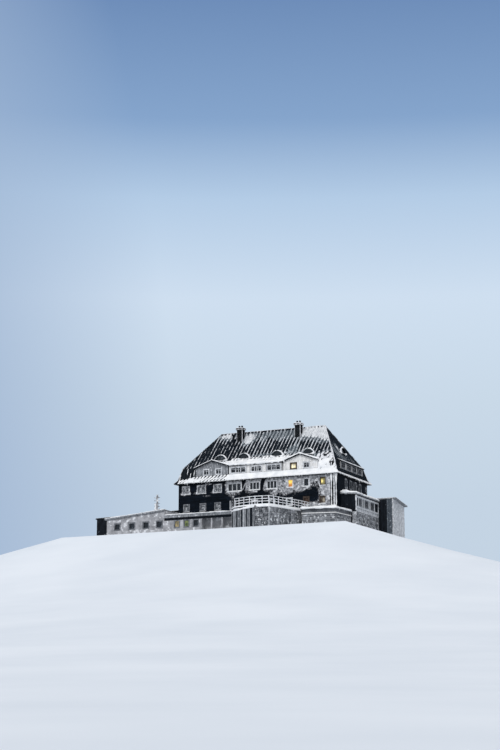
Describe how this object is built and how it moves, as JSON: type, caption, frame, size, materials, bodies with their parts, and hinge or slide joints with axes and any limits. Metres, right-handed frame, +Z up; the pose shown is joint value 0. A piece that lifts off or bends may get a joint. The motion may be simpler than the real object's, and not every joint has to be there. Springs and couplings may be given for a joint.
{
  "type": "alpine chalet, 1:2 scale model",
  "caption": "Timber mountain house with a hipped mansard roof, dormers, chimneys, low annexes, a railed terrace, a porch and a hinged terrace door.",
  "frame": {"origin": "plan centre of the timber block, on the underside of its base slab", "axes": "+X along the front to the right, +Y from the front into the depth, +Z up"},
  "size_m": [23.705, 13.255, 9.18],
  "materials": {
    "masonry": "rough concrete and stone",
    "dark_timber": "dark stained boards",
    "rimed_timber": "dark stained boards under rime",
    "floor_boards": "planed boards",
    "sheet_roof": "weathered seamed sheet with frost",
    "grey_boards": "weathered boards with frost",
    "chimney_render": "rough render",
    "window_paint": "white paint with frost",
    "window_glass": "clear",
    "frosted_metal": "frost on steel",
    "snow": "packed snow",
    "annex_render": "rough render"
  },
  "bodies": {
    "house": {"base_slabs": "masonry", "plinth_walls": "masonry", "front_wall_left": "dark_timber", "front_wall_right": "rimed_timber", "front_wall_over_door": "dark_timber", "back_wall": "dark_timber", "left_wall": "dark_timber", "right_wall": "dark_timber", "ground_floor": "masonry", "first_floor": "floor_boards", "attic_floor": "floor_boards", "upper_attic_floor": "floor_boards", "roof_front": "sheet_roof", "roof_back": "sheet_roof", "roof_left": "sheet_roof", "roof_right": "sheet_roof", "ridge_cap": "sheet_roof", "left_gable_dormer": "grey_boards", "right_gable_dormer": "grey_boards", "front_shed_dormer": "grey_boards", "back_gable_dormers": "grey_boards", "back_shed_dormer": "grey_boards", "left_side_dormer": "grey_boards", "right_side_dormer": "grey_boards", "round_dormers": "sheet_roof", "left_chimney": "chimney_render", "right_chimney": "chimney_render", "small_flue": "sheet_roof", "wall_window_frames": "window_paint", "dormer_window_frames": "window_paint", "annex_window_frames": "window_paint", "front_glass": "window_glass", "back_glass": "window_glass", "side_glass": "window_glass", "dormer_glass": "window_glass", "annex_glass": "window_glass", "downpipes": "frosted_metal", "terrace_deck": "snow", "terrace_skirt": "grey_boards", "terrace_railing": "frosted_metal", "front_platform": "masonry", "front_annex_walls": "annex_render", "front_annex_roof": "snow", "left_annex_walls": "annex_render", "left_annex_roof": "snow", "rear_wing_walls": "dark_timber", "rear_wing_roof": "sheet_roof", "porch_walls": "dark_timber", "porch_roof": "snow", "outbuilding_walls": "annex_render", "outbuilding_roof": "snow", "antenna_mast": "frosted_metal", "terrace_door_frame": "window_paint"},
    "terrace_door_leaf": {"terrace_door": "grey_boards"}
  },
  "joints": [
    {"name": "terrace_door_hinge", "type": "hinge", "parent": "house", "child": "terrace_door_leaf", "pos_m": [-2.17, -3.016, 2.2], "axis": [0, 0, 1], "range_deg": [0, 100]}
  ]
}
